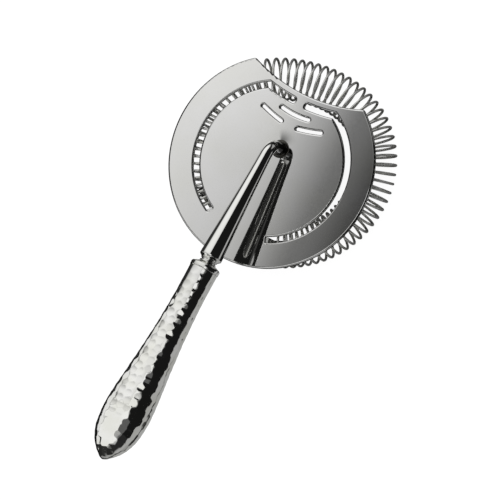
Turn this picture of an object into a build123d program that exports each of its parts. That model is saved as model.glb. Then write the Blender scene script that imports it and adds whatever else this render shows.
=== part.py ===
from build123d import *
import os
from math import sin, cos, pi, radians, degrees, atan2, hypot, sqrt

os.makedirs("parts", exist_ok=True)

# Hawthorne strainer.  Frame: origin at the centre of the plate's circle, on the
# plate's underside.  +X points to the pouring edge, +Z up, handle towards -X.
# All lengths in millimetres, all angles in degrees.

# ---- plate ---------------------------------------------------------------
PLATE_R = 45.2            # outer radius of the plate
PLATE_T = 1.5             # sheet thickness
LIP_CX = 103.2            # centre of the hollow pouring edge, on X
LIP_R = 71.7              # radius of the hollow pouring edge
CORNER_R = 1.2            # rounding of the two front corners
EDGE_R = 0.75             # rolled-over rounding of every edge of the top face
SLOT_RI, SLOT_RO = 31.7, 34.3      # long slot, inner and outer radius
SLOT_CORNER_R = 0.5       # easing of the long slot's sharp corners
SLOT_ENDS = {1: 154.1, -1: 155.9}  # azimuth of each long slot's square rear end
LIP_TURN = 1.4            # the lip and the slots' front legs are turned by this much
LEG_RI, LEG_RO = 74.65, 77.25        # front leg of the slot, from the lip's centre
LEG_END_R = 1.0           # rounding of the leg's end at the bridge
LEG_GAP = 2.4             # half width of the bridge between the two legs
# three short slots: centre line start, middle, end, and width
SHORT_SLOTS = [
    ((22.44, 6.97), (21.95, 0.0), (22.66, -5.9), 1.45),
    ((19.43, 14.53), (18.0, 9.4), (17.09, 4.62), 1.4),
    ((20.14, -13.35), (18.5, -8.43), (17.26, -3.51), 1.55),
]

# ---- spring --------------------------------------------------------------
WIRE_D = 1.1              # spring wire diameter
COIL_R = 8.55             # mean radius of one turn
COIL_GAP = 0.3            # air between the turns and the plate's underside
COIL_Z = -(COIL_R + WIRE_D / 2 + COIL_GAP)
RING_R0 = 36.985          # mean radius of the ring that the coil is bent into
RING_CY = 0.6             # the ring sits this far off the plate's centre, on Y
RING_COS = (2.403, -0.767, -0.803, -0.351)    # its departure from a circle
RING_SIN = (-3.331, -0.967, 0.433, -0.306)
RING_START, RING_END = 150.0, -150.5          # azimuth of the two ends
SPRING_SEGMENTS = 14      # lengths of wire that butt together into the one spring
BEND_STEPS = 3            # steps along each eighth of a turn

# ---- tongues -------------------------------------------------------------
TONGUE_W = 2.2
TONGUE_T = 1.5
TONGUE_TOP = 0.7          # the tongue leaves the slot's end wall below this height
TONGUE_L = 13.0           # how far each tongue runs forward inside the coil

# ---- stem and handle axis ------------------------------------------------
AXIS_Y, AXIS_Z = -1.1, 15.9        # where the axis crosses X = 0
AXIS_SKEW = -0.0398       # sideways run of the axis per mm towards -X
AXIS_RISE = 0.175         # rise of the axis per mm towards -X
LEG_X = 6.5               # the stem's foot
BEND_R = 6.0              # radius of the stem's elbow
STEM_R = 2.6              # stem radius at the elbow
STEM_PROFILE = [(0.0, 2.6), (20.3, 3.5), (34.0, 4.25), (47.2, 4.95)]
NECK_R = 3.3
NECK_END = 54.4           # the neck runs this far into the ferrule
TANG_R, TANG_END = 2.2, 100.0
BRAZE_R = 1.3             # fillet of braze around the foot

# ---- ferrule and handle --------------------------------------------------
FERRULE_T0, FERRULE_T1, SPIGOT_T1 = 51.2, 54.2, 57.2
FERRULE_R, SPIGOT_R = 6.6, 5.7
HANDLE_END = 145.1
FLAT = 0.76               # height of the handle's oval section over its width
# outer profile of the handle: distance along the axis, radius
HANDLE = [(61.0, 6.36), (67.0, 6.39), (73.2, 6.60), (79.2, 6.88), (85.3, 7.23), (91.4, 7.73),
          (97.5, 8.29), (103.6, 8.93), (109.7, 9.57), (115.8, 10.21), (119.9, 10.47),
          (122.9, 10.56), (126.0, 10.48), (129.0, 10.20), (132.1, 9.72), (134.1, 9.16),
          (136.1, 8.40), (138.2, 7.39), (140.2, 6.04), (142.2, 4.28), (143.4, 2.99),
          (144.5, 1.52)]
# inner profile of the handle's wall, about 0.6 mm inside the outer one
INNER = [(61.0, 5.74), (73.2, 5.94), (85.3, 6.58), (97.5, 7.63), (109.7, 8.89), (119.9, 9.80),
         (126.0, 9.80), (132.1, 9.03), (136.1, 7.69), (139.6, 5.57), (142.2, 3.14)]
INNER_END = 143.9


def axis_point(x):
    return Vector(x, AXIS_Y - AXIS_SKEW * x, AXIS_Z - AXIS_RISE * x)


# local frame of stem and handle: x' along the axis towards the handle's tip,
# y' sideways, z' upwards across the axis
origin = Vector(0, AXIS_Y, AXIS_Z)
along = Vector(-1, AXIS_SKEW, AXIS_RISE).normalized()
side = Vector(AXIS_SKEW, 1, 0)
side = (side - along * side.dot(along)).normalized()
up = side.cross(along) * -1
across = Plane(origin=origin, x_dir=along, z_dir=along.cross(side).normalized())
handle_axis = Axis(origin, along)


# ==========================================================================
# strainer plate: hollow-lipped disc with slots and two bent tongues
# ==========================================================================
def half_slot(end):
    """The long slot on the +Y side, open-ended at azimuth end."""
    with BuildSketch() as leg:
        with Locations((LIP_CX, 0)):
            Circle(LEG_RO)
            Circle(LEG_RI, mode=Mode.SUBTRACT)
        Circle(SLOT_RO, mode=Mode.INTERSECT)
        with BuildLine():
            Polyline((20, LEG_GAP), (40, LEG_GAP), (40, 30), (20, 30), (20, LEG_GAP))
        make_face(mode=Mode.INTERSECT)
        fillet(leg.vertices().sort_by(Axis.Y)[:2], LEG_END_R)
    with BuildSketch() as slot:
        # ring part of the slot, stopped by the hollow leg in front
        Circle(SLOT_RO)
        Circle(SLOT_RI, mode=Mode.SUBTRACT)
        with Locations((LIP_CX, 0)):
            Circle(LEG_RI, mode=Mode.SUBTRACT)
        # keep the +Y half up to the square rear end
        with BuildLine():
            Polyline((0, 0), (70 * cos(radians(end)), 70 * sin(radians(end))),
                     (-70, 70), (70, 70), (70, 0), (0, 0))
        make_face(mode=Mode.INTERSECT)
        add(leg.sketch)
    return slot.sketch


slot_arcs = []
for a, m, b, w in SHORT_SLOTS:
    with BuildLine() as centre:
        ThreePointArc(a, m, b)
    slot_arcs.append((centre.edges()[0], w))
with BuildSketch() as short_slots:
    for arc, w in slot_arcs:
        SlotArc(arc=arc, height=w)

with BuildPart() as strainer_plate:
    with BuildSketch():
        Circle(PLATE_R)
        with Locations((LIP_CX * cos(radians(LIP_TURN)), LIP_CX * sin(radians(LIP_TURN)))):
            Circle(LIP_R, mode=Mode.SUBTRACT)
    extrude(amount=PLATE_T)
    fillet(strainer_plate.edges().filter_by(Axis.Z), CORNER_R)
    with BuildSketch():
        add(half_slot(SLOT_ENDS[1] - LIP_TURN), rotation=LIP_TURN)
        add(mirror(half_slot(SLOT_ENDS[-1] + LIP_TURN), about=Plane.XZ, mode=Mode.PRIVATE),
            rotation=LIP_TURN)
        add(short_slots.sketch)
    extrude(amount=PLATE_T, mode=Mode.SUBTRACT)
    # ease the sharp corners of the long slots
    fillet([e for e in strainer_plate.edges().filter_by(Axis.Z)
            if abs(e.center().Y) > 5 and min(abs(hypot(e.center().X, e.center().Y) - SLOT_RI),
                                             abs(hypot(e.center().X, e.center().Y) - SLOT_RO)) < 0.05],
           SLOT_CORNER_R)
    # roll over the top edge of the outline, then of each slot in turn
    fillet(strainer_plate.faces().sort_by(Axis.Z)[-1].outer_wire().edges(), EDGE_R)
    for k in range(5):
        fillet(strainer_plate.faces().sort_by(Axis.Z)[-1].inner_wires().sort_by(Axis.Y)[k].edges(), EDGE_R)
    # a tongue at each long slot's rear end, bent down and running forward inside
    # the end turns of the spring
    for hand in (1, -1):
        az = radians(hand * SLOT_ENDS[hand])
        r_mid = (SLOT_RI + SLOT_RO) / 2
        fwd = Vector(hand * sin(az), -hand * cos(az), 0)
        base = Vector(r_mid * cos(az), r_mid * sin(az), 0)
        with BuildSketch(Plane(origin=base, x_dir=fwd, z_dir=fwd.cross(Vector(0, 0, 1)))) as tongue:
            with BuildLine():
                Polyline((-1.0, 0.4), (-1.0, 0), (-0.6, 0), (-0.6, COIL_Z - TONGUE_T / 2),
                         (TONGUE_L, COIL_Z - TONGUE_T / 2), (TONGUE_L, COIL_Z + TONGUE_T / 2),
                         (TONGUE_T - 0.6, COIL_Z + TONGUE_T / 2), (TONGUE_T - 0.6, TONGUE_TOP),
                         (-1.0, TONGUE_TOP), (-1.0, 0.4))
            make_face()
        extrude(amount=TONGUE_W / 2, both=True)
strainer_plate.part.label = "strainer_plate"
export_step(strainer_plate.part, "parts/strainer_plate.step")


# ==========================================================================
# coil spring: one wire wound into small turns and bent into an open ring
# ==========================================================================
def ring_radius(t):
    r = RING_R0
    for k in range(4):
        r += RING_COS[k] * cos((k + 1) * t) + RING_SIN[k] * sin((k + 1) * t)
    return r


def ring_slope(t):
    d = 0.0
    for k in range(4):
        d += (k + 1) * (-RING_COS[k] * sin((k + 1) * t) + RING_SIN[k] * cos((k + 1) * t))
    return d


def turns(deg):
    # number of turns wound when the ring has come round to this azimuth
    if deg > 37.0:
        return turns(37.0) - 0.190 * (deg - 37.0)
    return 1.18e-6 * deg ** 3 + 2.956e-4 * deg ** 2 - 0.2096141 * deg + 7.778207


def wire_point(deg):
    t = radians(deg)
    r, d = ring_radius(t), ring_slope(t)
    x, y = r * cos(t), RING_CY + r * sin(t)
    tx, ty = d * cos(t) - r * sin(t), d * sin(t) + r * cos(t)
    h = hypot(tx, ty)
    nx, ny = ty / h, -tx / h
    a = 2 * pi * turns(deg)
    return Vector(x + COIL_R * cos(a) * nx, y + COIL_R * cos(a) * ny, COIL_Z + COIL_R * sin(a))


def deg_at_turn(n, lo=-170.0, hi=170.0):
    # the turn count falls as the azimuth rises
    for _ in range(50):
        mid = (lo + hi) / 2
        if turns(mid) > n:
            lo = mid
        else:
            hi = mid
    return (lo + hi) / 2


def wire_direction(deg):
    return (wire_point(deg - 0.01) - wire_point(deg + 0.01)).normalized()


first, last = turns(RING_START), turns(RING_END)
wire_length = 0.0
wire_volume = 0.0
lengths = []
for i in range(SPRING_SEGMENTS):
    n0 = first + (last - first) * i / SPRING_SEGMENTS
    n1 = first + (last - first) * (i + 1) / SPRING_SEGMENTS
    bends = int(round((n1 - n0) * 8))
    start = deg_at_turn(n0)
    with BuildPart() as segment:
        with BuildLine():
            for q in range(bends):
                degs = [deg_at_turn(n0 + (n1 - n0) * (q + j / BEND_STEPS) / bends)
                        for j in range(BEND_STEPS + 1)]
                bend = Spline(*[wire_point(g) for g in degs],
                              tangents=(wire_direction(degs[0]), wire_direction(degs[-1])))
                wire_length += bend.length
        with BuildSketch(Plane(origin=wire_point(start), z_dir=wire_direction(start))):
            Circle(WIRE_D / 2)
        sweep()
    wire_volume += segment.part.volume
    lengths.append(segment.part.solids()[0])
coil_spring = Compound(children=lengths)
coil_spring.label = "coil_spring"
export_step(coil_spring, "parts/coil_spring.step")
print("turns", round(last - first, 1), "wire length", round(wire_length, 1),
      "volume ratio", round(wire_volume / (wire_length * pi * WIRE_D ** 2 / 4), 4))


# ==========================================================================
# stem: foot, elbow, tapered rod, shoulder, neck and tang, forged in one piece
# ==========================================================================
tilt = degrees(atan2(AXIS_RISE, hypot(1, AXIS_SKEW)))
bend_run = BEND_R * (1 - sin(radians(tilt)))
foot = axis_point(LEG_X)
level = Vector(-along.X, -along.Y, 0).normalized()       # level direction, towards the lip
bend_start = axis_point(LEG_X - bend_run * level.X)
down = bend_start.Z - BEND_R * cos(radians(tilt))
with BuildPart() as stem:
    with BuildLine() as elbow:
        l1 = Line(bend_start + along * 4.0, bend_start)
        centre_b = bend_start + Vector(-level.X * sin(radians(tilt)), -level.Y * sin(radians(tilt)),
                                       -cos(radians(tilt))) * BEND_R
        mid_a = radians((90 - tilt) / 2 + tilt)
        mid_b = centre_b + (level * sin(mid_a) + Vector(0, 0, cos(mid_a))) * BEND_R
        end_b = Vector(foot.X, foot.Y, 0) + Vector(0, 0, centre_b.Z)
        ThreePointArc(bend_start, mid_b, end_b)
        Line(end_b, Vector(end_b.X, end_b.Y, PLATE_T))
    with BuildSketch(Plane(origin=bend_start + along * 4.0, z_dir=along * -1)):
        Circle(STEM_R)
    sweep()
    # tapered rod with shoulder, bead, neck and tang
    t_in = (bend_start + along * 1.0 - origin).dot(along)
    with BuildSketch(across):
        with BuildLine():
            Polyline((t_in, 0), (t_in, STEM_R))
            Spline((t_in, STEM_R), *STEM_PROFILE[1:])
            Polyline(STEM_PROFILE[-1], (48.0, 4.95), (49.0, 3.75), (49.35, 3.75),
                     (49.6, 3.25), (50.1, 3.25), (50.35, 3.7), (50.9, 3.7), (51.1, NECK_R),
                     (NECK_END, NECK_R), (NECK_END, TANG_R), (TANG_END, TANG_R),
                     (TANG_END, 0), (t_in, 0))
        make_face()
    revolve(axis=handle_axis)
stem.part.label = "stem"
export_step(stem.part, "parts/stem.step")

# fillet of braze where the foot stands on the plate
with BuildPart() as stem_braze:
    with BuildSketch(Plane(origin=(end_b.X, end_b.Y, PLATE_T), x_dir=(1, 0, 0), z_dir=(0, -1, 0))):
        with BuildLine():
            Line((STEM_R, 0), (STEM_R + BRAZE_R, 0))
            RadiusArc((STEM_R + BRAZE_R, 0), (STEM_R, BRAZE_R), BRAZE_R)
            Line((STEM_R, BRAZE_R), (STEM_R, 0))
        make_face()
    revolve(axis=Axis((end_b.X, end_b.Y, PLATE_T), (0, 0, 1)))
stem_braze.part.label = "stem_braze"
export_step(stem_braze.part, "parts/stem_braze.step")

# ==========================================================================
# ferrule: oval cap that closes the handle's mouth around the round neck
# ==========================================================================
# Ferrule and handle are drawn along local X, widened from round to oval, then
# set on the axis.
lengthwise = Axis.X
on_axis = across.location

with BuildPart() as ferrule_blank:
    with BuildSketch():
        with BuildLine():
            Polyline((FERRULE_T0, 0), (FERRULE_T0, 4.6), (52.0, 6.35), (52.35, FERRULE_R),
                     (FERRULE_T1 - 0.2, FERRULE_R), (FERRULE_T1, 6.4), (FERRULE_T1, SPIGOT_R),
                     (SPIGOT_T1, SPIGOT_R), (SPIGOT_T1, 0), (FERRULE_T0, 0))
        make_face()
    revolve(axis=lengthwise)
    scale(by=(1, 1, FLAT))
    with BuildSketch(Plane.YZ.offset(FERRULE_T0 - 1)):
        Circle(NECK_R)
    extrude(amount=SPIGOT_T1 - FERRULE_T0 + 2, mode=Mode.SUBTRACT)
ferrule = on_axis * ferrule_blank.part
ferrule.label = "ferrule"
export_step(ferrule, "parts/ferrule.step")

# ==========================================================================
# handle: two pressed half shells joined along a seam, filled around the tang
# ==========================================================================
with BuildLine() as cavity:
    Spline(*INNER, (INNER_END, 0), tangents=((1, 0), (0, -1)))
with BuildSketch() as wall:
    with BuildLine():
        Polyline((FERRULE_T1, SPIGOT_R), (FERRULE_T1, 6.4), HANDLE[0])
        Spline(*HANDLE, (HANDLE_END, 0), tangents=((1, 0), (0, -1)))
        Line((HANDLE_END, 0), (INNER_END, 0))
        add(cavity.line)
        Polyline(INNER[0], (SPIGOT_T1, SPIGOT_R), (FERRULE_T1, SPIGOT_R))
    make_face()

with BuildPart() as upper_half:
    add(wall.sketch)
    revolve(axis=lengthwise, revolution_arc=180)
    scale(by=(1, 1, FLAT))
with BuildPart() as lower_half:
    add(wall.sketch)
    revolve(axis=lengthwise, revolution_arc=-180)
    scale(by=(1, 1, FLAT))
handle_shell_upper = on_axis * upper_half.part
handle_shell_lower = on_axis * lower_half.part
if handle_shell_upper.center().Z < handle_shell_lower.center().Z:
    handle_shell_upper, handle_shell_lower = handle_shell_lower, handle_shell_upper
handle_shell_upper.label = "handle_shell_upper"
handle_shell_lower.label = "handle_shell_lower"
export_step(handle_shell_upper, "parts/handle_shell_upper.step")
export_step(handle_shell_lower, "parts/handle_shell_lower.step")

# cement that fills the handle and grips the tang
with BuildPart() as filler_blank:
    with BuildSketch():
        with BuildLine():
            Line((SPIGOT_T1, 0), (SPIGOT_T1, SPIGOT_R))
            Line((SPIGOT_T1, SPIGOT_R), INNER[0])
            add(cavity.line)
            Line((INNER_END, 0), (SPIGOT_T1, 0))
        make_face()
    revolve(axis=lengthwise)
    scale(by=(1, 1, FLAT))
    with BuildSketch(Plane.YZ.offset(SPIGOT_T1 - 1)):
        Circle(TANG_R)
    extrude(amount=TANG_END - SPIGOT_T1 + 1, mode=Mode.SUBTRACT)
handle_filler = on_axis * filler_blank.part
handle_filler.label = "handle_filler"
export_step(handle_filler, "parts/handle_filler.step")

for p in (strainer_plate.part, coil_spring, stem.part, stem_braze.part, ferrule,
          handle_shell_upper, handle_shell_lower, handle_filler):
    b = p.bounding_box()
    print(p.label, round(p.volume, 1), [round(v, 1) for v in (*b.min, *b.max)])
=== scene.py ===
import bpy, bmesh, math
import numpy as np
from mathutils import Vector, Matrix


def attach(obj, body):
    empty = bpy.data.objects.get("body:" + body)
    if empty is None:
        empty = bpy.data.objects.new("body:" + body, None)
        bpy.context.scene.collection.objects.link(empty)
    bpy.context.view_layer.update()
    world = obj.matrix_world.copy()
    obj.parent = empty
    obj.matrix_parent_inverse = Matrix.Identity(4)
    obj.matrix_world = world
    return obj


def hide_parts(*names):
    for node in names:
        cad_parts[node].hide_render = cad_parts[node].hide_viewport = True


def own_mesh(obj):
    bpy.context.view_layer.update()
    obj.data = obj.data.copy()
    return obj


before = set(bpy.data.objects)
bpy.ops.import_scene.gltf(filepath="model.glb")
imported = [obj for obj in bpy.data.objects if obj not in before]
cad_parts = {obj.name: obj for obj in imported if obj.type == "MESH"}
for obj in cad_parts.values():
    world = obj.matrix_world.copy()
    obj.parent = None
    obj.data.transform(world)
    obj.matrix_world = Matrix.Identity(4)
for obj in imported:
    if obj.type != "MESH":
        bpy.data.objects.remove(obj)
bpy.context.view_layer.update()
MM = 0.001

# --------------------------------------------------------------------------
# shared dimensions (millimetres, as in the CAD model)
# --------------------------------------------------------------------------
PLATE_T = 1.5
WIRE_D, COIL_R, COIL_GAP = 1.1, 8.55, 0.3
COIL_Z = -(COIL_R + WIRE_D / 2 + COIL_GAP)
RING_R0, RING_CY = 36.985, 0.6
RING_COS = (2.403, -0.767, -0.803, -0.351)
RING_SIN = (-3.331, -0.967, 0.433, -0.306)
RING_START, RING_END = 150.0, -150.5
AXIS_Y, AXIS_Z, AXIS_SKEW, AXIS_RISE = -1.1, 15.9, -0.0398, 0.175
LEG_X, BEND_R, STEM_R = 6.5, 6.0, 2.6
FLAT = 0.76

# camera: long lens, 18 degrees off the plate's normal on the -Y side
PX = 2.3836                      # picture elements per millimetre at the plate, in a 500 wide frame
CX, CY = 271.37, 161.83          # where the plate's centre falls in that frame
DIST = 8500.0
TILT = math.radians(18.1)
ROLL = math.radians(62.65)

ORIGIN = np.array([0.0, AXIS_Y, AXIS_Z])
ALONG = np.array([-1.0, AXIS_SKEW, AXIS_RISE]); ALONG /= np.linalg.norm(ALONG)
SIDE = np.array([AXIS_SKEW, 1.0, 0.0]); SIDE -= ALONG * SIDE.dot(ALONG); SIDE /= np.linalg.norm(SIDE)
UP = np.cross(SIDE, ALONG)
if UP[2] < 0:
    UP = -UP


# --------------------------------------------------------------------------
# mesh helpers
# --------------------------------------------------------------------------
def mesh_object(name, verts, faces, smooth=True):
    me = bpy.data.meshes.new(name)
    me.from_pydata([tuple(v) for v in verts], [], faces)
    me.validate()
    me.update()
    ob = bpy.data.objects.new(name, me)
    bpy.context.scene.collection.objects.link(ob)
    if smooth:
        me.polygons.foreach_set("use_smooth", [True] * len(me.polygons))
    return ob


def fix_normals(ob):
    bm = bmesh.new()
    bm.from_mesh(ob.data)
    bmesh.ops.recalc_face_normals(bm, faces=bm.faces)
    bm.to_mesh(ob.data)
    bm.free()
    ob.data.update()


def rings_to_mesh(name, rings, cap_start=True, cap_end=True):
    """rings: list of (n, 3) arrays in mm, closed loops joined in order; the ends are closed to a point."""
    n = len(rings[0])
    verts = [p for r in rings for p in r]
    faces = []
    for i in range(len(rings) - 1):
        a, b = i * n, (i + 1) * n
        for j in range(n):
            k = (j + 1) % n
            faces.append((a + j, a + k, b + k, b + j))
    if cap_start:
        c = len(verts); verts.append(np.mean(rings[0], axis=0))
        faces += [(c, (j + 1) % n, j) for j in range(n)]
    if cap_end:
        a = (len(rings) - 1) * n
        c = len(verts); verts.append(np.mean(rings[-1], axis=0))
        faces += [(c, a + j, a + (j + 1) % n) for j in range(n)]
    ob = mesh_object(name, np.array(verts) * MM, faces)
    fix_normals(ob)
    return ob


def soften(profile, radii, steps=4):
    """A polyline of (t, r) with each inner corner rounded by a small arc-like quadratic."""
    out = [np.array(profile[0], float)]
    for i in range(1, len(profile) - 1):
        p0, p, p1 = (np.array(profile[j], float) for j in (i - 1, i, i + 1))
        d0, d1 = p0 - p, p1 - p
        l0, l1 = np.linalg.norm(d0), np.linalg.norm(d1)
        r = min(radii[i] if hasattr(radii, "__len__") else radii, 0.45 * l0, 0.45 * l1)
        a, b = p + d0 / l0 * r, p + d1 / l1 * r
        for k in range(steps + 1):
            s = k / steps
            out.append((1 - s) ** 2 * a + 2 * s * (1 - s) * p + s * s * b)
    out.append(np.array(profile[-1], float))
    return out


def axis_rings(profile, n=72, flat=1.0):
    ang = np.linspace(0, 2 * math.pi, n, endpoint=False)
    rings = []
    for t, r in profile:
        rings.append(ORIGIN + ALONG * t + np.outer(np.cos(ang) * r, SIDE) + np.outer(np.sin(ang) * r * flat, UP))
    return rings


# --------------------------------------------------------------------------
# materials
# --------------------------------------------------------------------------
def metal(name, color, rough, rough_var=0.02, grain=0.0, grain_scale=(400, 400, 400), bump=0.0, tarnish=0.0, patch_scale=60.0):
    m = bpy.data.materials.new(name)
    m.use_nodes = True
    nt = m.node_tree
    nt.nodes.clear()
    N, L = nt.nodes, nt.links
    out = N.new("ShaderNodeOutputMaterial")
    bsdf = N.new("ShaderNodeBsdfPrincipled")
    L.new(bsdf.outputs[0], out.inputs[0])
    bsdf.inputs["Metallic"].default_value = 1.0
    tc = N.new("ShaderNodeTexCoord")
    mp = N.new("ShaderNodeMapping")
    mp.inputs["Scale"].default_value = grain_scale
    L.new(tc.outputs["Object"], mp.inputs["Vector"])
    fine = N.new("ShaderNodeTexNoise")
    fine.inputs["Scale"].default_value = 1.0
    fine.inputs["Detail"].default_value = 6.0
    fine.inputs["Roughness"].default_value = 0.65
    L.new(mp.outputs[0], fine.inputs["Vector"])
    patch = N.new("ShaderNodeTexNoise")
    patch.inputs["Scale"].default_value = patch_scale
    patch.inputs["Detail"].default_value = 3.0
    L.new(tc.outputs["Object"], patch.inputs["Vector"])
    # colour: clean metal with faint warm tarnish in patches
    ramp = N.new("ShaderNodeValToRGB")
    c0 = [c * (1 - tarnish) for c in color]
    c0[2] *= (1 - tarnish * 0.6)
    ramp.color_ramp.elements[0].position = 0.35
    ramp.color_ramp.elements[0].color = (*c0, 1)
    ramp.color_ramp.elements[1].position = 0.62
    ramp.color_ramp.elements[1].color = (*color, 1)
    L.new(patch.outputs["Fac"], ramp.inputs["Fac"])
    L.new(ramp.outputs["Color"], bsdf.inputs["Base Color"])
    # roughness: fine polish marks
    r1 = N.new("ShaderNodeMapRange")
    r1.inputs["From Min"].default_value = 0.3
    r1.inputs["From Max"].default_value = 0.7
    r1.inputs["To Min"].default_value = max(0.0, rough - rough_var)
    r1.inputs["To Max"].default_value = rough + rough_var
    L.new(fine.outputs["Fac"], r1.inputs["Value"])
    L.new(r1.outputs["Result"], bsdf.inputs["Roughness"])
    if bump > 0:
        b = N.new("ShaderNodeBump")
        b.inputs["Strength"].default_value = bump
        b.inputs["Distance"].default_value = 0.00005
        L.new(fine.outputs["Fac"], b.inputs["Height"])
        L.new(b.outputs["Normal"], bsdf.inputs["Normal"])
    return m


MAT_PLATE = metal("plate_polish", (0.865, 0.865, 0.862), 0.036, 0.012, grain_scale=(900, 900, 900), bump=0.0, tarnish=0.04, patch_scale=45)


def painted_elbow_reflection(m, x, y):
    """Paints a dark reflection of the elbow into the metal's colour: a soft wedge that runs forward from the foot at
    (x, y) mm.
    """
    nt = m.node_tree
    N, L = nt.nodes, nt.links
    bsdf = [n for n in N if n.type == "BSDF_PRINCIPLED"][0]
    tone = bsdf.inputs["Base Color"].links[0].from_socket
    tc = N.new("ShaderNodeTexCoord")
    off = N.new("ShaderNodeVectorMath")
    off.operation = "ADD"
    off.inputs[1].default_value = (-x * MM, -y * MM, 0.0)
    L.new(tc.outputs["Object"], off.inputs[0])
    sep = N.new("ShaderNodeSeparateXYZ")
    L.new(off.outputs[0], sep.inputs[0])

    def calc(op, a, b):
        n = N.new("ShaderNodeMath")
        n.operation = op
        for i, v in enumerate((a, b)):
            if isinstance(v, (int, float)):
                n.inputs[i].default_value = v
            else:
                L.new(v, n.inputs[i])
        return n.outputs[0]

    def fade(v, a, b, ya, yb):
        n = N.new("ShaderNodeMapRange")
        n.interpolation_type = "SMOOTHSTEP"
        for k, q in zip(("From Min", "From Max", "To Min", "To Max"), (a, b, ya, yb)):
            n.inputs[k].default_value = q
        L.new(v, n.inputs["Value"])
        return n.outputs["Result"]

    flatten = N.new("ShaderNodeVectorMath")
    flatten.operation = "MULTIPLY"
    flatten.inputs[1].default_value = (1.0, 1.0, 0.0)
    L.new(off.outputs[0], flatten.inputs[0])
    ln = N.new("ShaderNodeVectorMath")
    ln.operation = "LENGTH"
    L.new(flatten.outputs[0], ln.inputs[0])
    r = ln.outputs["Value"]
    turn = calc("ARCTAN2", sep.outputs["Y"], sep.outputs["X"])
    wedge = calc("MULTIPLY", fade(turn, -0.95, 0.22, 0.0, 1.0), fade(turn, 0.30, 0.62, 1.0, 0.0))
    wedge = calc("MULTIPLY", wedge, fade(r, 2.6 * MM, 9.5 * MM, 0.80, 0.0))
    # painted reflection: near-black mixed into the base colour over the wedge
    mix = N.new("ShaderNodeMixRGB")
    L.new(wedge, mix.inputs[0])
    L.new(tone, mix.inputs[1])
    mix.inputs[2].default_value = (0.03, 0.03, 0.028, 1.0)
    L.new(mix.outputs[0], bsdf.inputs["Base Color"])


# painted reflection of the elbow on the plate, in front of the stem's foot
painted_elbow_reflection(MAT_PLATE, LEG_X, AXIS_Y - AXIS_SKEW * LEG_X)


def painted_foot_shade(m):
    """Paints shade into the metal's colour: darkens the stem's foot and the inside of its elbow."""
    nt = m.node_tree
    N, L = nt.nodes, nt.links
    bsdf = [n for n in N if n.type == "BSDF_PRINCIPLED"][0]
    tone = bsdf.inputs["Base Color"].links[0].from_socket
    tc = N.new("ShaderNodeTexCoord")
    sep = N.new("ShaderNodeSeparateXYZ")
    L.new(tc.outputs["Object"], sep.inputs[0])
    parts = []
    for axis, a, b, ya, yb in (("X", -1.5, 2.5, 0.0, 0.92), ("Z", 10.0, 13.2, 1.0, 0.0)):
        n = N.new("ShaderNodeMapRange")
        n.interpolation_type = "SMOOTHSTEP"
        for k, q in zip(("From Min", "From Max", "To Min", "To Max"), (a * MM, b * MM, ya, yb)):
            n.inputs[k].default_value = q
        L.new(sep.outputs[axis], n.inputs["Value"])
        parts.append(n.outputs["Result"])
    mul = N.new("ShaderNodeMath")
    mul.operation = "MULTIPLY"
    L.new(parts[0], mul.inputs[0])
    L.new(parts[1], mul.inputs[1])
    # painted shade: near-black mixed into the base colour towards the foot
    mix = N.new("ShaderNodeMixRGB")
    L.new(mul.outputs[0], mix.inputs[0])
    L.new(tone, mix.inputs[1])
    mix.inputs[2].default_value = (0.03, 0.03, 0.028, 1.0)
    L.new(mix.outputs[0], bsdf.inputs["Base Color"])


MAT_STEM = metal("stem_polish", (0.90, 0.90, 0.885), 0.045, 0.02, grain_scale=(500, 1600, 1600), bump=0.0, tarnish=0.03)
MAT_FERRULE = metal("ferrule_polish", (0.89, 0.89, 0.875), 0.06, 0.02, grain_scale=(1200, 900, 900), bump=0.03, tarnish=0.06)
MAT_HANDLE = metal("hammered_polish", (0.90, 0.90, 0.88), 0.07, 0.03, grain_scale=(700, 700, 700), bump=0.03, tarnish=0.06, patch_scale=140)
MAT_WIRE = metal("drawn_wire", (0.78, 0.78, 0.77), 0.25, 0.05, grain_scale=(1500, 1500, 300), bump=0.08, tarnish=0.10, patch_scale=220)
# painted shade: the braze fillet's colour is near black, the same dark as the painted foot
MAT_BRAZE_SHADE = metal("braze_fillet_painted_shade", (0.085, 0.082, 0.076), 0.30, 0.06, grain_scale=(900, 900, 900), bump=0.10, tarnish=0.15, patch_scale=500)


def cement():
    m = bpy.data.materials.new("cement_fill")
    m.use_nodes = True
    nt = m.node_tree
    bsdf = nt.nodes["Principled BSDF"]
    tc = nt.nodes.new("ShaderNodeTexCoord")
    no = nt.nodes.new("ShaderNodeTexNoise")
    no.inputs["Scale"].default_value = 900
    no.inputs["Detail"].default_value = 8
    nt.links.new(tc.outputs["Object"], no.inputs["Vector"])
    ramp = nt.nodes.new("ShaderNodeValToRGB")
    ramp.color_ramp.elements[0].color = (0.30, 0.26, 0.20, 1)
    ramp.color_ramp.elements[1].color = (0.52, 0.47, 0.39, 1)
    nt.links.new(no.outputs["Fac"], ramp.inputs["Fac"])
    nt.links.new(ramp.outputs["Color"], bsdf.inputs["Base Color"])
    bsdf.inputs["Roughness"].default_value = 0.9
    return m


def dress(ob, mat):
    ob.data.materials.clear()
    ob.data.materials.append(mat)


# --------------------------------------------------------------------------
# spring: one continuous helical wire
# --------------------------------------------------------------------------
def ring_xy(t):
    r = RING_R0 + sum(RING_COS[k] * np.cos((k + 1) * t) + RING_SIN[k] * np.sin((k + 1) * t) for k in range(4))
    d = sum((k + 1) * (-RING_COS[k] * np.sin((k + 1) * t) + RING_SIN[k] * np.cos((k + 1) * t)) for k in range(4))
    x, y = r * np.cos(t), RING_CY + r * np.sin(t)
    tx, ty = d * np.cos(t) - r * np.sin(t), d * np.sin(t) + r * np.cos(t)
    h = np.hypot(tx, ty)
    return x, y, ty / h, -tx / h


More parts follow.
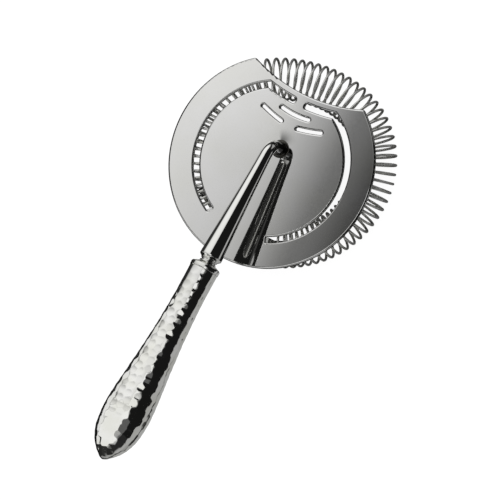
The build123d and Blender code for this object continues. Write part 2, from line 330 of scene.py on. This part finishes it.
def turns(deg):
    base = 1.18e-6 * deg ** 3 + 2.956e-4 * deg ** 2 - 0.2096141 * deg + 7.778207
    at37 = 1.18e-6 * 37.0 ** 3 + 2.956e-4 * 37.0 ** 2 - 0.2096141 * 37.0 + 7.778207
    return np.where(deg > 37.0, at37 - 0.190 * (deg - 37.0), base)


def make_spring():
    fine = np.linspace(RING_START, RING_END, 60001)
    n = turns(fine)
    total = n[-1] - n[0]
    steps = int(total * 44)
    deg = np.interp(np.linspace(n[0], n[-1], steps + 1), n, fine)
    t = np.radians(deg)
    x, y, nx, ny = ring_xy(t)
    a = 2 * math.pi * turns(deg)
    P = np.stack([x + COIL_R * np.cos(a) * nx, y + COIL_R * np.cos(a) * ny, COIL_Z + COIL_R * np.sin(a)], 1)
    T = np.gradient(P, axis=0)
    T /= np.linalg.norm(T, axis=1)[:, None]
    # frame: outward from the turn's own centre
    C = np.stack([x, y, np.full_like(x, COIL_Z)], 1)
    O = P - C
    O -= T * (O * T).sum(1)[:, None]
    O /= np.linalg.norm(O, axis=1)[:, None]
    B = np.cross(T, O)
    m = 12
    ang = np.linspace(0, 2 * math.pi, m, endpoint=False)
    R = WIRE_D / 2
    rings = []
    # rounded cut at both ends
    for f in (0.35, 0.8):
        rings.append(P[0] - T[0] * R * 0.0 + (np.outer(np.cos(ang), O[0]) + np.outer(np.sin(ang), B[0])) * R * f)
    for i in range(len(P)):
        rings.append(P[i] + (np.outer(np.cos(ang), O[i]) + np.outer(np.sin(ang), B[i])) * R)
    for f in (0.8, 0.35):
        rings.append(P[-1] + (np.outer(np.cos(ang), O[-1]) + np.outer(np.sin(ang), B[-1])) * R * f)
    return rings_to_mesh("spring_wire", rings)


[n for n in MAT_WIRE.node_tree.nodes if n.type == "BSDF_PRINCIPLED"][0].inputs["Metallic"].default_value = 0.88
spring = make_spring()
dress(spring, MAT_WIRE)
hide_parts("coil_spring")

# --------------------------------------------------------------------------
# stem: foot, elbow, taper, shoulder, bead and neck
# --------------------------------------------------------------------------
def axis_at(x):
    return np.array([x, AXIS_Y - AXIS_SKEW * x, AXIS_Z - AXIS_RISE * x])


def make_stem():
    tilt = math.atan2(AXIS_RISE, math.hypot(1, AXIS_SKEW))
    level = np.array([-ALONG[0], -ALONG[1], 0.0]); level /= np.linalg.norm(level)
    run = BEND_R * (1 - math.sin(tilt))
    start = axis_at(LEG_X - run * level[0])
    centre = start + BEND_R * np.array([-level[0] * math.sin(tilt), -level[1] * math.sin(tilt), -math.cos(tilt)])
    n = 72
    ang = np.linspace(0, 2 * math.pi, n, endpoint=False)
    side = np.array([-level[1], level[0], 0.0])

    def ring(c, tangent, r):
        u = np.cross(tangent, side); u /= np.linalg.norm(u)
        s = np.cross(u, tangent)
        return c + np.outer(np.cos(ang) * r, s) + np.outer(np.sin(ang) * r, u)

    rings = []
    top = centre + level * BEND_R
    for z in np.linspace(PLATE_T + 0.02, top[2], 8):
        rings.append(ring(np.array([top[0], top[1], z]), np.array([0, 0, 1.0]), STEM_R))
    for a in np.linspace(math.pi / 2, tilt, 26)[1:]:
        c = centre + (level * math.sin(a) + np.array([0, 0, math.cos(a)])) * BEND_R
        t = -(level * math.cos(a) - np.array([0, 0, math.sin(a)]))
        rings.append(ring(c, t, STEM_R))
    t0 = (start - ORIGIN).dot(ALONG)
    # taper
    T = np.linspace(t0, 47.2, 40)[1:]
    R = np.interp(T, [t0, 0.0, 10, 20.3, 34.0, 47.2], [2.6, 2.62, 3.02, 3.5, 4.25, 4.95])
    from_knots = np.poly1d(np.polyfit([t0, 10, 20.3, 34.0, 47.2], [2.6, 3.02, 3.5, 4.25, 4.95], 3))
    R = from_knots(T)
    shoulder = soften([(T[-1], R[-1]), (48.0, 4.95), (49.0, 3.75), (49.35, 3.75), (49.6, 3.25), (50.1, 3.25),
                       (50.35, 3.7), (50.9, 3.7), (51.1, 3.3), (54.4, 3.3)], 0.12, 3)
    prof = list(zip(T, R)) + shoulder[1:]
    for t, r in prof:
        rings.append(ring(ORIGIN + ALONG * t, ALONG, r))
    return rings_to_mesh("stem_rod", rings)


stem = make_stem()
# painted shade on the stem's foot and the inside of its elbow
painted_foot_shade(MAT_STEM)
dress(stem, MAT_STEM)
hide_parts("stem")

# --------------------------------------------------------------------------
# ferrule: oval cap with a rolled rim
# --------------------------------------------------------------------------
def make_ferrule():
    n = 96
    ang = np.linspace(0, 2 * math.pi, n, endpoint=False)
    outer = soften([(51.2, 4.6), (52.0, 6.35), (52.35, 6.6), (54.0, 6.6), (54.2, 6.4), (54.2, 5.75), (57.2, 5.7)], 0.14, 3)
    rings = []
    for t in (57.2, 51.2):
        rings.append(ORIGIN + ALONG * t + np.outer(np.cos(ang) * 3.32, SIDE) + np.outer(np.sin(ang) * 3.32, UP))
    rings += axis_rings(outer, n, FLAT)
    # close back to the bore
    rings.append(rings[0].copy())
    verts = [p for r in rings[:-1] for p in r]
    k = len(rings) - 1
    faces = []
    for i in range(k):
        a, b = i * n, ((i + 1) % k) * n
        for j in range(n):
            q = (j + 1) % n
            faces.append((a + j, a + q, b + q, b + j))
    ob = mesh_object("ferrule_cap", np.array(verts) * MM, faces)
    fix_normals(ob)
    return ob


ferrule = make_ferrule()
dress(ferrule, MAT_FERRULE)
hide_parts("ferrule")

# --------------------------------------------------------------------------
# handle: oval hollow handle with hammer marks
# --------------------------------------------------------------------------
HANDLE = [(54.2, 6.38), (57.5, 6.36), (61.0, 6.36), (67.0, 6.39), (73.2, 6.60), (79.2, 6.88), (85.3, 7.23), (91.4, 7.73),
          (97.5, 8.29), (103.6, 8.93), (109.7, 9.57), (115.8, 10.21), (119.9, 10.47),
          (122.9, 10.56), (126.0, 10.48), (129.0, 10.20), (132.1, 9.72), (134.1, 9.16),
          (136.1, 8.40), (138.2, 7.39), (140.2, 6.04), (142.2, 4.28), (143.4, 2.99),
          (144.5, 1.52), (145.1, 0.0)]


def catmull(pts, per=24):
    P = np.array(pts, float)
    P = np.vstack([2 * P[0] - P[1], P, 2 * P[-1] - P[-2]])
    out = []
    for i in range(1, len(P) - 2):
        p0, p1, p2, p3 = P[i - 1], P[i], P[i + 1], P[i + 2]
        d01, d12, d23 = (max(np.linalg.norm(b - a), 1e-9) ** 0.5 for a, b in ((p0, p1), (p1, p2), (p2, p3)))
        t0, t1 = 0, d01
        t2, t3 = t1 + d12, t1 + d12 + d23
        for k in range(per):
            t = t1 + (t2 - t1) * k / per
            A1 = (t1 - t) / (t1 - t0) * p0 + (t - t0) / (t1 - t0) * p1
            A2 = (t2 - t) / (t2 - t1) * p1 + (t - t1) / (t2 - t1) * p2
            A3 = (t3 - t) / (t3 - t2) * p2 + (t - t2) / (t3 - t2) * p3
            B1 = (t2 - t) / (t2 - t0) * A1 + (t - t0) / (t2 - t0) * A2
            B2 = (t3 - t) / (t3 - t1) * A2 + (t - t1) / (t3 - t1) * A3
            out.append((t2 - t) / (t2 - t1) * B1 + (t - t1) / (t2 - t1) * B2)
    out.append(P[-2])
    return np.array(out)


def make_handle():
    curve = catmull(HANDLE)
    s = np.r_[0, np.cumsum(np.linalg.norm(np.diff(curve, axis=0), axis=1))]
    rows, cols = 430, 256
    S = np.linspace(0, s[-1], rows)
    t = np.interp(S, s, curve[:, 0]); r = np.maximum(np.interp(S, s, curve[:, 1]), 0.0)
    ang = np.linspace(0, 2 * math.pi, cols, endpoint=False)
    TT, AA = np.meshgrid(t, ang, indexing="ij")
    RR = np.repeat(r[:, None], cols, 1)
    SS = np.repeat(S[:, None], cols, 1)
    X = TT; Y = RR * np.cos(AA); Z = RR * np.sin(AA) * FLAT
    V = np.stack([X, Y, Z], -1)
    # outward normals of the smooth form
    dS = np.gradient(V, axis=0)
    dA = np.roll(V, -1, 1) - np.roll(V, 1, 1)
    Nn = np.cross(dS, dA)
    ln = np.linalg.norm(Nn, axis=2, keepdims=True)
    Nn = Nn / np.maximum(ln, 1e-9)
    sign = np.sign((Nn[rows // 2, 0] * np.array([0, 1, 0])).sum())
    Nn *= sign
    # hammer marks: staggered rows of shallow dishes, sizes and places uneven
    rng = np.random.default_rng(11)
    seeds, depth = [], []
    sp = 2.2
    row = 0
    while sp < s[-1] - 0.8:
        rr = np.interp(sp, s, curve[:, 1]); tt = np.interp(sp, s, curve[:, 0])
        circ = math.pi * (1 + FLAT) * rr
        big = np.interp(tt, [54, 75, 115, 140, 145], [3.7, 3.7, 3.6, 3.1, 2.4])
        num = max(3, int(round(circ / (big * 0.92))))
        for j in range(num):
            aa = 2 * math.pi * (j + 0.5 * (row % 2) + rng.uniform(-0.20, 0.20)) / num
            s2 = sp + rng.uniform(-0.62, 0.62)
            rr2 = np.interp(s2, s, curve[:, 1]); tt2 = np.interp(s2, s, curve[:, 0])
            seeds.append((tt2, rr2 * math.cos(aa), rr2 * math.sin(aa) * FLAT))
            depth.append(rng.uniform(0.105, 0.165))
        sp += big * 0.90
        row += 1
    seeds, depth = np.array(seeds), np.array(depth)
    flatV = V.reshape(-1, 3)
    H = np.empty(len(flatV))
    RAD = 12.5
    kk = 0.015
    for i in range(0, len(flatV), 4000):
        d2 = ((flatV[i:i + 4000, None, :] - seeds[None]) ** 2).sum(2)
        f = d2 / (2 * RAD) - depth[None]
        mn = f.min(1)
        H[i:i + 4000] = mn - kk * np.log(np.exp(-(f - mn[:, None]) / kk).sum(1))
    H = np.minimum(H, 0.0).reshape(rows, cols)
    fade = np.interp(SS, [0, 1.2, 8, 22], [0.0, 0.12, 0.40, 1.0]) * np.interp(s[-1] - SS, [0, 0.6, 3.0], [0.0, 0.3, 1.0])
    V = V + Nn * (H * fade)[..., None]
    W = ORIGIN + V[..., 0:1] * ALONG + V[..., 1:2] * SIDE + V[..., 2:3] * UP
    rings = [W[i] for i in range(rows - 1)]
    # the mouth turns in behind the ferrule
    mouth = [ORIGIN + ALONG * 54.3 + np.outer(np.cos(ang) * 5.9, SIDE) + np.outer(np.sin(ang) * 5.9 * FLAT, UP)]
    ob = rings_to_mesh("handle_shell", mouth + rings, cap_start=False)
    return ob


handle = make_handle()
dress(handle, MAT_HANDLE)
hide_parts("handle_shell_upper", "handle_shell_lower")

# --------------------------------------------------------------------------
# carried-over CAD pieces
# --------------------------------------------------------------------------
dress(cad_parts["strainer_plate"], MAT_PLATE)
dress(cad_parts["stem_braze"], MAT_BRAZE_SHADE)
dress(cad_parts["handle_filler"], cement())

for piece in (stem, ferrule, handle):
    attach(piece, "strainer")
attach(spring, "spring")
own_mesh(spring)

# --------------------------------------------------------------------------
# floor, light and surroundings
# --------------------------------------------------------------------------
FLOOR_Z = COIL_Z - COIL_R - WIRE_D / 2
bpy.ops.mesh.primitive_plane_add(size=30, location=(0, 0, (FLOOR_Z - 0.02) * MM))
floor = bpy.context.object
floor.name = "floor"
fm = bpy.data.materials.new("floor_white")
fm.use_nodes = True
nt = fm.node_tree
nt.nodes.clear()
o = nt.nodes.new("ShaderNodeOutputMaterial")
mixs = nt.nodes.new("ShaderNodeMixShader")
em = nt.nodes.new("ShaderNodeEmission")
df = nt.nodes.new("ShaderNodeBsdfDiffuse")
em.inputs["Color"].default_value = (1, 1, 1, 1)
em.inputs["Strength"].default_value = 1.09
df.inputs["Color"].default_value = (0.92, 0.92, 0.92, 1)
mixs.inputs[0].default_value = 0.16
nt.links.new(em.outputs[0], mixs.inputs[1])
nt.links.new(df.outputs[0], mixs.inputs[2])
nt.links.new(mixs.outputs[0], o.inputs[0])
floor.data.materials.append(fm)
floor.visible_glossy = False

world = bpy.data.worlds.new("studio")
bpy.context.scene.world = world
world.use_nodes = True
world.node_tree.nodes["Background"].inputs[0].default_value = (1, 1, 1, 1)
world.node_tree.nodes["Background"].inputs[1].default_value = 1.0

# a surround that only reflections see: soft light overhead and to the left,
# dark flags around it, pale table below
bpy.ops.mesh.primitive_uv_sphere_add(segments=96, ring_count=64, radius=1.5, location=(0, 0, 0))
dome = bpy.context.object
dome.name = "surround"
dome.data.polygons.foreach_set("use_smooth", [True] * len(dome.data.polygons))
dm = bpy.data.materials.new("surround_light")
dm.use_nodes = True
nt = dm.node_tree
nt.nodes.clear()
N, L = nt.nodes, nt.links


def math_node(op, a=None, b=None, c=None, clamp=False):
    n = N.new("ShaderNodeMath")
    n.operation = op
    n.use_clamp = clamp
    for i, v in enumerate((a, b, c)):
        if v is None:
            continue
        if isinstance(v, (int, float)):
            n.inputs[i].default_value = v
        else:
            L.new(v, n.inputs[i])
    return n.outputs[0]


DOME_R = 1500.0


def ramp(value, x0, x1, y0, y1, smooth=False):
    r = N.new("ShaderNodeMapRange")
    if smooth:
        r.interpolation_type = "SMOOTHSTEP"
    r.inputs["From Min"].default_value = x0
    r.inputs["From Max"].default_value = x1
    r.inputs["To Min"].default_value = y0
    r.inputs["To Max"].default_value = y1
    L.new(value, r.inputs["Value"])
    return r.outputs["Result"]


def piecewise(value, stops):
    """A piecewise linear function of value, as a sum of clamped ramps."""
    total = None
    for (x0, y0), (x1, y1) in zip(stops[:-1], stops[1:]):
        if abs(y1 - y0) < 1e-6:
            continue
        r = ramp(value, x0, x1, 0.0, y1 - y0)
        total = r if total is None else math_node("ADD", total, r)
    return math_node("ADD", total, stops[0][1])


def dome_spot(X, Y):
    """Where on the surround the plate's point (X, Y) mirrors the camera to: (x, psi in degrees)."""
    c = np.array([0.0, -DIST * math.sin(TILT), PLATE_T - DIST * math.cos(TILT)])
    p = np.array([X, Y, PLATE_T])
    d = (p - c) / np.linalg.norm(p - c)
    k = p.dot(d)
    t = -k + math.sqrt(k * k - p.dot(p) + DOME_R ** 2)
    q = (p + d * t) / DOME_R
    return q[0], math.degrees(math.atan2(q[1], q[2]))


def lin(srgb):
    c = srgb / 255.0
    return ((c + 0.055) / 1.055) ** 2.4


o = N.new("ShaderNodeOutputMaterial")
em = N.new("ShaderNodeEmission")
L.new(em.outputs[0], o.inputs[0])
geo = N.new("ShaderNodeTexCoord")
nrm = N.new("ShaderNodeVectorMath"); nrm.operation = "NORMALIZE"
L.new(geo.outputs["Object"], nrm.inputs[0])
sep = N.new("ShaderNodeSeparateXYZ")
L.new(nrm.outputs[0], sep.inputs[0])
psi = math_node("MULTIPLY", math_node("ARCTAN2", sep.outputs["Y"], sep.outputs["Z"]), 180 / math.pi)
dx = sep.outputs["X"]

# the fall-off that the plate mirrors: level against Y, and a small term against X on the bright half
PLATE_LIGHT = [(-50, 54), (-46, 60), (-42, 69), (-38, 86), (-34, 97), (-30, 107), (-26, 103), (-22, 121), (-18, 138), (-15.5, 147),
               (-13, 155), (-10.3, 162), (-5, 173), (-2.6, 178), (0, 184), (3, 190), (8, 196), (14, 199.5), (18, 201), (22, 204),
               (26, 207), (30, 208.5), (34, 211), (38, 213), (42, 214), (50, 216)]
GAIN = 1.0 / 0.86
soft_patch = piecewise(psi, [(dome_spot(0, Y)[1], lin(g) * GAIN) for Y, g in PLATE_LIGHT])
ACROSS = [(-42, -0.030), (-6, 0.0), (3, 0.018), (12, 0.052), (24, 0.074), (38, 0.088)]
across = piecewise(dx, [(dome_spot(X, 0)[0], g * GAIN) for X, g in ACROSS])
half = ramp(psi, dome_spot(0, -7)[1], dome_spot(0, 7)[1], 0.0, 1.0, smooth=True)
soft_patch = math_node("ADD", soft_patch, math_node("MULTIPLY", across, half))

# the soft light: a wide panel on the +Y side, cut off towards the front and the handle's end
panel = piecewise(psi, [(3, 0.0), (5.5, 0.66), (12, 0.80), (30, 0.90), (50, 0.94), (70, 0.90), (77, 0.60), (82, 0.03)])
panel = math_node("MULTIPLY", panel, piecewise(dx, [(-0.8, 0.01), (-0.2, 0.02), (-0.05, 0.05), (0.03, 0.42), (0.1, 0.62),
                                                    (0.25, 0.92), (0.35, 1.0), (0.80, 1.0), (0.92, 0.8), (0.99, 0.0)]))
# it stands clear of the strainer's front: less of it reaches there from low down
low = math_node("MULTIPLY", ramp(psi, 25.0, 45.0, 0.0, 0.85, smooth=True), ramp(dx, -0.10, 0.05, 1.0, 0.0, smooth=True))
panel = math_node("MULTIPLY", panel, math_node("SUBTRACT", 1.0, low))
# the table: a pale strip below the horizon on the -Y side, black further under
table = math_node("MULTIPLY", ramp(psi, -99.0, -97.0, 1.0, 0.0), ramp(psi, -121.0, -114.0, 0.0, 1.0, smooth=True))
table = math_node("MULTIPLY", table, ramp(dx, 0.36, 0.44, 1.0, 0.0, smooth=True))
table = math_node("MULTIPLY", table, ramp(dx, 0.0, 0.15, 0.12, 1.0, smooth=True))
table = math_node("MULTIPLY", table, 0.39)
# the dim room behind the handle's end
room = math_node("MULTIPLY", ramp(dx, -0.30, -0.12, 0.012, 0.0, smooth=True), ramp(sep.outputs["Z"], -0.10, 0.05, 0.25, 1.0, smooth=True))
rest_light = math_node("ADD", math_node("ADD", panel, table), math_node("ADD", room, 0.009))
# dim walls to the sides, which mostly show from other angles
sideways = math_node("MULTIPLY", ramp(psi, -66.0, -58.0, 1.0, 0.0, smooth=True), ramp(psi, -125.0, -110.0, 0.0, 1.0, smooth=True))
sideways = math_node("MULTIPLY", sideways, math_node("ADD", ramp(dx, -0.50, -0.36, 0.33, 0.0, smooth=True),
                                                     ramp(dx, 0.70, 0.80, 0.0, 0.33, smooth=True)))
caps = math_node("MULTIPLY", ramp(dx, -0.93, -0.84, 0.28, 0.0, smooth=True), ramp(sep.outputs["Z"], -0.10, 0.05, 0.2, 1.0, smooth=True))
rest_light = math_node("MAXIMUM", rest_light, math_node("MAXIMUM", sideways, caps))
patch_on = math_node("MULTIPLY", ramp(math_node("ABSOLUTE", dx), 0.05, 0.09, 1.0, 0.0, smooth=True),
                     math_node("MULTIPLY", ramp(psi, dome_spot(0, 52)[1], dome_spot(0, 52)[1] + 1.5, 1.0, 0.0, smooth=True),
                               ramp(psi, dome_spot(0, -52)[1] - 4.0, dome_spot(0, -52)[1], 0.0, 1.0, smooth=True)))
inv = math_node("SUBTRACT", 1.0, patch_on)
total = math_node("ADD", math_node("MULTIPLY", soft_patch, patch_on), math_node("MULTIPLY", rest_light, inv))
L.new(total, em.inputs["Strength"])
em.inputs["Color"].default_value = (1, 0.998, 0.992, 1)
dome.data.materials.append(dm)
dome.visible_camera = False
dome.visible_diffuse = False
dome.visible_shadow = False
dome.visible_transmission = False
dome.visible_volume_scatter = False


def glossy_card(name, corners, strength):
    ob = mesh_object(name, np.array(corners, float) * MM, [(0, 1, 2, 3)], smooth=False)
    m = bpy.data.materials.new(name + "_light")
    m.use_nodes = True
    t = m.node_tree
    t.nodes.clear()
    oo = t.nodes.new("ShaderNodeOutputMaterial")
    ee = t.nodes.new("ShaderNodeEmission")
    ee.inputs["Color"].default_value = (1, 1, 0.995, 1)
    ee.inputs["Strength"].default_value = strength
    t.links.new(ee.outputs[0], oo.inputs[0])
    ob.data.materials.append(m)
    ob.visible_camera = False
    ob.visible_diffuse = False
    ob.visible_shadow = False
    ob.visible_transmission = False
    ob.visible_volume_scatter = False
    return ob


glossy_card("card_over_handle", [(-300, -38, 240), (19, -38, 240), (19, 14, 240), (-300, 14, 240)], 0.93)
glossy_card("card_edge_bright", [(-300, -54, 240), (19, -54, 240), (19, -38, 240), (-300, -38, 240)], 0.42)
glossy_card("card_edge_dim", [(-300, -88, 240), (19, -88, 240), (19, -54, 240), (-300, -54, 240)], 0.11)
glossy_card("card_past_handle", [(-195, -2, 95), (-104, -2, 95), (-104, 200, 95), (-195, 200, 95)], 0.90)
glossy_card("card_left_of_handle", [(-190, 60, 41), (-60, 60, 18), (-60, 60, 42), (-190, 60, 65)], 0.82)
glossy_card("card_under_handle", [(-190, -60, 5), (-48, -60, 5), (-48, -10, 5), (-190, -10, 5)], 0.39)
glossy_card("card_beside_handle", [(-190, -60, 38), (-40, -60, 12), (-40, -60, 35), (-190, -60, 62)], 0.40)

# soft overhead light for the floor
ld = bpy.data.lights.new("softbox", "AREA")
ld.shape = "SQUARE"
ld.size = 2.0
ld.energy = 6.0
lo = bpy.data.objects.new("softbox", ld)
lo.location = (0.3, 0.8, 1.9)
lo.rotation_euler = (Vector((0.3, 0.8, 1.9))).to_track_quat("Z", "Y").to_euler()
lo.visible_glossy = False
lo.visible_camera = False
bpy.context.scene.collection.objects.link(lo)

# --------------------------------------------------------------------------
# camera
# --------------------------------------------------------------------------
v = np.array([0.0, -math.sin(TILT), math.cos(TILT)])
G = np.array([0.0, -math.cos(TILT), -math.sin(TILT)])
Xw = np.array([1.0, 0, 0])
R0 = math.cos(ROLL) * Xw + math.sin(ROLL) * G
U0 = math.sin(ROLL) * Xw - math.cos(ROLL) * G
P = np.array([0.0, 0.0, PLATE_T])
C = P + v * DIST
aim = P - (CX - 250) / PX * R0 - (250 - CY) / PX * U0
zc = (C - aim) / np.linalg.norm(C - aim)
xc = R0 - zc * R0.dot(zc); xc /= np.linalg.norm(xc)
yc = np.cross(zc, xc)
cam_data = bpy.data.cameras.new("camera")
cam = bpy.data.objects.new("camera", cam_data)
bpy.context.scene.collection.objects.link(cam)
M = Matrix(((xc[0], yc[0], zc[0], C[0] * MM), (xc[1], yc[1], zc[1], C[1] * MM), (xc[2], yc[2], zc[2], C[2] * MM), (0, 0, 0, 1)))
cam.matrix_world = M
cam_data.sensor_fit = "HORIZONTAL"
cam_data.sensor_width = 36.0
cam_data.lens = 36.0 * PX * np.linalg.norm(C - aim) / 500.0
cam_data.clip_start = 0.01
cam_data.clip_end = 100
bpy.context.scene.camera = cam
bpy.context.scene.view_settings.view_transform = "Standard"
bpy.context.scene.view_settings.look = "None"
